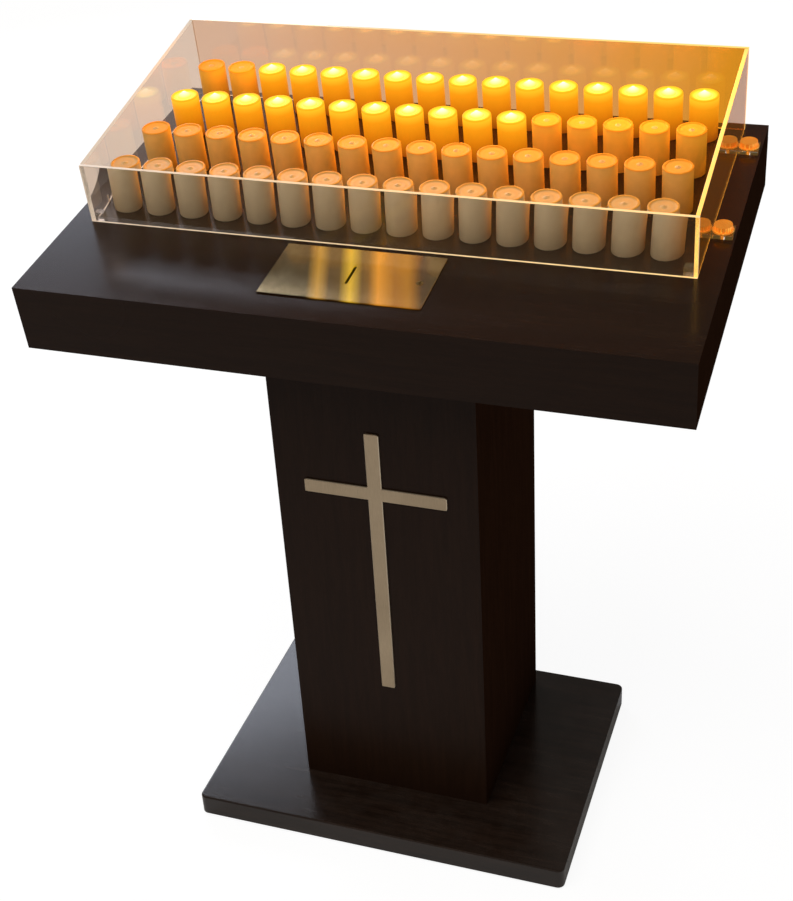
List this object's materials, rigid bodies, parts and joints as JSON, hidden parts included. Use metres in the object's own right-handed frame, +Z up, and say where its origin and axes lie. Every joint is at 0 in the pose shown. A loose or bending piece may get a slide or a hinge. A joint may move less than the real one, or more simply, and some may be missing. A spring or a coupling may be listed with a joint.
{
  "type": "electric votive candle rack",
  "caption": "Standing electric votive rack: sloping table with rows of candle lamps in a clear surround, slot plate in front, square pedestal with a cross, flat base.",
  "frame": {"origin": "floor level, under the middle of the outline", "axes": "+Z up, +Y from the slot side to the back, +X to the right of a person facing the slot"},
  "size_m": [0.84, 0.552, 1.035],
  "materials": {
    "table_laminate": "gloss dark laminate",
    "pedestal_laminate": "satin gloss dark laminate",
    "base_laminate": "gloss dark laminate",
    "raw_board": "sealed board",
    "champagne_metal": "brushed, champagne tint",
    "brass": "knurled, coppery",
    "steel": "zinc plated",
    "acrylic": "clear, polished edges",
    "candle_ivory": "frosted",
    "candle_glow": "frosted, lit from inside",
    "tip_unlit": "frosted",
    "tip_lit": "lit",
    "black_plastic": "moulded",
    "white_plastic": "moulded",
    "circuit_board": "solder mask",
    "supply_case": "folded sheet",
    "ribbon_grey": "ribbon cable"
  },
  "bodies": {
    "stand": {"base_plate": "base_laminate", "base_glides": "black_plastic", "pedestal_front": "pedestal_laminate", "pedestal_left": "pedestal_laminate", "pedestal_right": "pedestal_laminate", "rear_top_rail": "pedestal_laminate", "compartment_shelf": "raw_board", "cross": "champagne_metal", "door_strike": "raw_board", "hinge_leaves_fixed": "brass", "pedestal_brackets": "steel", "wood_screws": "steel", "table_top": "table_laminate", "apron_front": "table_laminate", "apron_back": "table_laminate", "apron_left": "table_laminate", "apron_right": "table_laminate", "table_bottom": "raw_board", "corner_blocks": "raw_board", "slot_plate": "champagne_metal", "coin_chute": "steel", "coin_sensor": "black_plastic", "key_switch_body": "black_plastic", "screw_inserts": "brass", "candle_sockets": "white_plastic", "candles_row_1": "candle_ivory", "candles_row_2": "candle_ivory", "candles_row_3_unlit": "candle_ivory", "candles_row_3_lit": "candle_glow", "candles_row_4_unlit": "candle_ivory", "candles_row_4_lit": "candle_glow", "flame_tips_lit": "tip_lit", "flame_tips_unlit": "tip_unlit", "led_boards": "circuit_board", "control_board": "circuit_board", "power_supply": "supply_case", "ribbon_cables": "ribbon_grey", "inlet_module": "black_plastic"},
    "cover": {"cover_front": "acrylic", "cover_back": "acrylic", "cover_left": "acrylic", "cover_right": "acrylic", "cover_corner_blocks": "acrylic", "cover_lugs": "acrylic", "cover_pins": "steel"},
    "thumbscrew_front": {"thumbscrew_front": "brass", "thumbscrew_front_shank": "brass"},
    "thumbscrew_rear": {"thumbscrew_rear": "brass", "thumbscrew_rear_shank": "brass"},
    "key_switch": {"key_barrel": "brass"},
    "switch_rocker": {"switch_rocker": "black_plastic"},
    "cash_drawer": {"cash_tray": "steel", "drawer_front": "pedestal_laminate", "drawer_knob": "brass"},
    "drawer_lock": {"drawer_lock_barrel": "steel", "drawer_lock_cam": "steel"},
    "door": {"storage_door": "pedestal_laminate", "hinge_leaves_door": "brass"},
    "door_lock": {"door_lock_barrel": "steel", "door_lock_cam": "steel"}
  },
  "joints": [
    {"name": "cover_lift", "type": "slide", "parent": "stand", "child": "cover", "axis": [0, -0.1219, 0.9925], "range_m": [0, 0.18]},
    {"name": "thumbscrew_front_turn", "type": "hinge", "parent": "cover", "child": "thumbscrew_front", "pos_m": [0.404, -0.01366, 0.89425], "axis": [0, -0.1219, 0.9925], "continuous": true},
    {"name": "thumbscrew_rear_turn", "type": "hinge", "parent": "cover", "child": "thumbscrew_rear", "pos_m": [0.404, 0.19279, 0.9196], "axis": [0, -0.1219, 0.9925], "continuous": true},
    {"name": "key_turn", "type": "hinge", "parent": "stand", "child": "key_switch", "pos_m": [0.077, -0.18166, 0.86758], "axis": [0, 0.1219, -0.9925], "range_deg": [0, 90]},
    {"name": "mains_switch_rock", "type": "hinge", "parent": "stand", "child": "switch_rocker", "pos_m": [-0.3145, 0.27083, 0.87478], "axis": [1, 0, 0], "range_deg": [0, 12]},
    {"name": "drawer_slide", "type": "slide", "parent": "stand", "child": "cash_drawer", "axis": [0, 1, 0], "range_m": [0, 0.19]},
    {"name": "drawer_lock_turn", "type": "hinge", "parent": "cash_drawer", "child": "drawer_lock", "pos_m": [0.075, 0.10905, 0.6615], "axis": [0, 1, 0], "range_deg": [0, 90]},
    {"name": "door_swing", "type": "hinge", "parent": "stand", "child": "door", "pos_m": [-0.12025, 0.11355, 0.258], "axis": [0, 0, 1], "range_deg": [0, 110]},
    {"name": "door_lock_turn", "type": "hinge", "parent": "door", "child": "door_lock", "pos_m": [0.0975, 0.10905, 0.258], "axis": [0, -1, 0], "range_deg": [0, 90]}
  ]
}
